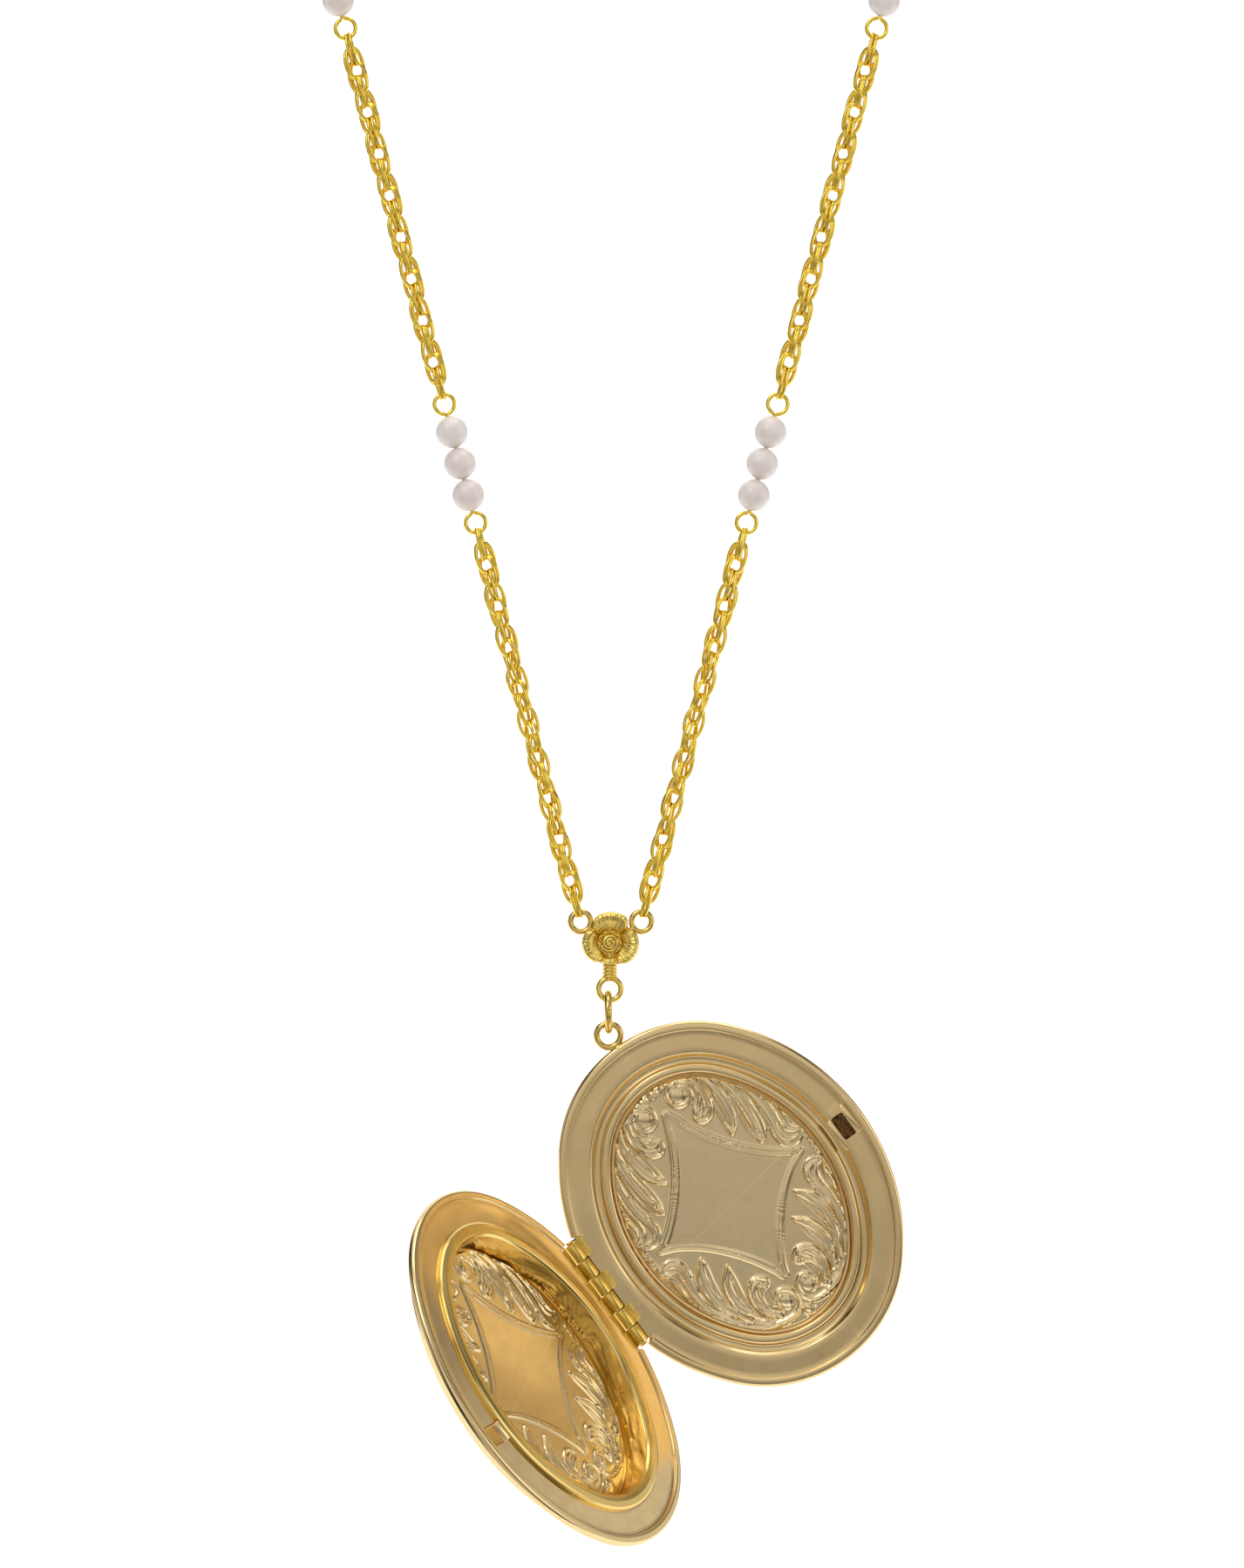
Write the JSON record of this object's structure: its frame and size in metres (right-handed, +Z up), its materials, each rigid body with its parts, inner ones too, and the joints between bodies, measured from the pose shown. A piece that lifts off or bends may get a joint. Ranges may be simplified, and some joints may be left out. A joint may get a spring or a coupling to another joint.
{
  "type": "locket necklace",
  "caption": "Hinged oval locket with two covers, open, on a rose connector and jump ring, hung from a rope chain with bead stations closed by a spring ring clasp.",
  "frame": {"origin": "underside of the clasp at the top of the loop, where a neck or a peg carries the closed chain", "axes": "+Z up, +X to the right of a viewer facing the locket, -Y towards that viewer"},
  "size_m": [0.0783, 0.0354, 0.2495],
  "materials": {
    "antique_gold": "soft antique gold plate",
    "bright_gold": "bright yellow gold plate",
    "rose_gold_plate": "yellow gold plate, softly polished",
    "imitation_pearl": "pearlescent",
    "spring_steel": "drawn wire"
  },
  "bodies": {
    "top_chain": {"left_top_chain": "bright_gold", "right_top_chain": "bright_gold", "clasp_body": "bright_gold", "clasp_spring": "spring_steel", "clasp_eye": "bright_gold", "clasp_jump_ring": "bright_gold", "tag_ring": "bright_gold"},
    "clasp_bolt": {"clasp_bolt": "bright_gold"},
    "rose": {"rose_petals": "rose_gold_plate", "rose_bud": "rose_gold_plate", "rose_upper_loops": "rose_gold_plate", "rose_neck_loop": "rose_gold_plate"},
    "jump_ring": {"jump_ring": "bright_gold"},
    "back": {"back_cover": "antique_gold", "back_hinge_knuckles": "antique_gold", "hinge_pin": "antique_gold", "catch_lips": "antique_gold", "bail_loop": "antique_gold"},
    "front": {"front_cover": "antique_gold", "front_bezel": "antique_gold", "front_hinge_knuckles": "antique_gold", "catch_tongue": "antique_gold"},
    "left_upper_bar": {"left_upper_bar": "bright_gold"},
    "left_middle_chain": {"left_middle_chain": "bright_gold"},
    "left_lower_bar": {"left_lower_bar": "bright_gold"},
    "left_lower_chain": {"left_lower_chain": "bright_gold"},
    "left_upper_bead_1": {"left_upper_bead_1": "imitation_pearl"},
    "left_upper_bead_2": {"left_upper_bead_2": "imitation_pearl"},
    "left_upper_bead_3": {"left_upper_bead_3": "imitation_pearl"},
    "left_lower_bead_1": {"left_lower_bead_1": "imitation_pearl"},
    "left_lower_bead_2": {"left_lower_bead_2": "imitation_pearl"},
    "left_lower_bead_3": {"left_lower_bead_3": "imitation_pearl"},
    "right_upper_bar": {"right_upper_bar": "bright_gold"},
    "right_middle_chain": {"right_middle_chain": "bright_gold"},
    "right_lower_bar": {"right_lower_bar": "bright_gold"},
    "right_lower_chain": {"right_lower_chain": "bright_gold"},
    "right_upper_bead_1": {"right_upper_bead_1": "imitation_pearl"},
    "right_upper_bead_2": {"right_upper_bead_2": "imitation_pearl"},
    "right_upper_bead_3": {"right_upper_bead_3": "imitation_pearl"},
    "right_lower_bead_1": {"right_lower_bead_1": "imitation_pearl"},
    "right_lower_bead_2": {"right_lower_bead_2": "imitation_pearl"},
    "right_lower_bead_3": {"right_lower_bead_3": "imitation_pearl"}
  },
  "joints": [
    {"name": "left_upper_bar_swing", "type": "hinge", "parent": "top_chain", "child": "left_upper_bar", "pos_m": [-0.03606, 0, -0.04678], "axis": [1, 0, 0], "range_deg": [-25, 25]},
    {"name": "left_middle_chain_swing", "type": "hinge", "parent": "left_upper_bar", "child": "left_middle_chain", "pos_m": [-0.03168, 0, -0.06341], "axis": [1, 0, 0], "range_deg": [-25, 25]},
    {"name": "left_lower_bar_swing", "type": "hinge", "parent": "left_middle_chain", "child": "left_lower_bar", "pos_m": [-0.02038, 0, -0.10635], "axis": [1, 0, 0], "range_deg": [-25, 25]},
    {"name": "left_lower_chain_swing", "type": "hinge", "parent": "left_lower_bar", "child": "left_lower_chain", "pos_m": [-0.016, 0, -0.12298], "axis": [1, 0, 0], "range_deg": [-25, 25]},
    {"name": "right_upper_bar_swing", "type": "hinge", "parent": "top_chain", "child": "right_upper_bar", "pos_m": [0.03606, 0, -0.04678], "axis": [1, 0, 0], "range_deg": [-25, 25]},
    {"name": "right_middle_chain_swing", "type": "hinge", "parent": "right_upper_bar", "child": "right_middle_chain", "pos_m": [0.03168, 0, -0.06341], "axis": [1, 0, 0], "range_deg": [-25, 25]},
    {"name": "right_lower_bar_swing", "type": "hinge", "parent": "right_middle_chain", "child": "right_lower_bar", "pos_m": [0.02038, 0, -0.10635], "axis": [1, 0, 0], "range_deg": [-25, 25]},
    {"name": "right_lower_chain_swing", "type": "hinge", "parent": "right_lower_bar", "child": "right_lower_chain", "pos_m": [0.016, 0, -0.12298], "axis": [1, 0, 0], "range_deg": [-25, 25]},
    {"name": "rose_swing", "type": "hinge", "parent": "left_lower_chain", "child": "rose", "pos_m": [-0.00397, 0, -0.16867], "axis": [1, 0, 0], "range_deg": [-35, 35]},
    {"name": "jump_ring_swing", "type": "hinge", "parent": "rose", "child": "jump_ring", "pos_m": [-0.0003, 0, -0.17932], "axis": [1, 0, 0], "range_deg": [-40, 40]},
    {"name": "locket_swing", "type": "hinge", "parent": "jump_ring", "child": "back", "pos_m": [-0.0003, 0, -0.18299], "axis": [0, 1, 0], "range_deg": [-20, 50]},
    {"name": "case_hinge", "type": "hinge", "parent": "back", "child": "front", "pos_m": [-0.00042, 0.00211, -0.21504], "axis": [-0.5899, -0.0861, 0.8029], "range_deg": [-60, 118.4]},
    {"name": "left_upper_bead_1_spin", "type": "hinge", "parent": "left_upper_bar", "child": "left_upper_bead_1", "pos_m": [-0.03487, 0, -0.05129], "axis": [-0.2546, 0, 0.967], "continuous": true},
    {"name": "left_upper_bead_2_spin", "type": "hinge", "parent": "left_upper_bar", "child": "left_upper_bead_2", "pos_m": [-0.03387, 0, -0.05509], "axis": [-0.2546, 0, 0.967], "continuous": true},
    {"name": "left_upper_bead_3_spin", "type": "hinge", "parent": "left_upper_bar", "child": "left_upper_bead_3", "pos_m": [-0.03287, 0, -0.05889], "axis": [-0.2546, 0, 0.967], "continuous": true},
    {"name": "left_lower_bead_1_spin", "type": "hinge", "parent": "left_lower_bar", "child": "left_lower_bead_1", "pos_m": [-0.01919, 0, -0.11086], "axis": [-0.2546, 0, 0.967], "continuous": true},
    {"name": "left_lower_bead_2_spin", "type": "hinge", "parent": "left_lower_bar", "child": "left_lower_bead_2", "pos_m": [-0.01819, 0, -0.11466], "axis": [-0.2546, 0, 0.967], "continuous": true},
    {"name": "left_lower_bead_3_spin", "type": "hinge", "parent": "left_lower_bar", "child": "left_lower_bead_3", "pos_m": [-0.01719, 0, -0.11846], "axis": [-0.2546, 0, 0.967], "continuous": true},
    {"name": "right_upper_bead_1_spin", "type": "hinge", "parent": "right_upper_bar", "child": "right_upper_bead_1", "pos_m": [0.03487, 0, -0.05129], "axis": [0.2546, 0, 0.967], "continuous": true},
    {"name": "right_upper_bead_2_spin", "type": "hinge", "parent": "right_upper_bar", "child": "right_upper_bead_2", "pos_m": [0.03387, 0, -0.05509], "axis": [0.2546, 0, 0.967], "continuous": true},
    {"name": "right_upper_bead_3_spin", "type": "hinge", "parent": "right_upper_bar", "child": "right_upper_bead_3", "pos_m": [0.03287, 0, -0.05889], "axis": [0.2546, 0, 0.967], "continuous": true},
    {"name": "right_lower_bead_1_spin", "type": "hinge", "parent": "right_lower_bar", "child": "right_lower_bead_1", "pos_m": [0.01919, 0, -0.11086], "axis": [0.2546, 0, 0.967], "continuous": true},
    {"name": "right_lower_bead_2_spin", "type": "hinge", "parent": "right_lower_bar", "child": "right_lower_bead_2", "pos_m": [0.01819, 0, -0.11466], "axis": [0.2546, 0, 0.967], "continuous": true},
    {"name": "right_lower_bead_3_spin", "type": "hinge", "parent": "right_lower_bar", "child": "right_lower_bead_3", "pos_m": [0.01719, 0, -0.11846], "axis": [0.2546, 0, 0.967], "continuous": true},
    {"name": "clasp_bolt_slide", "type": "hinge", "parent": "top_chain", "child": "clasp_bolt", "pos_m": [0, 0, 0.0035], "axis": [0, 1, 0], "range_deg": [0, 50], "stiffness_Nm_per_rad": 0.002}
  ],
  "couplings": [
    {"joint": "right_upper_bar_swing", "follows": "left_upper_bar_swing", "ratio": 1},
    {"joint": "right_middle_chain_swing", "follows": "left_middle_chain_swing", "ratio": 1},
    {"joint": "right_lower_bar_swing", "follows": "left_lower_bar_swing", "ratio": 1},
    {"joint": "right_lower_chain_swing", "follows": "left_lower_chain_swing", "ratio": 1}
  ]
}
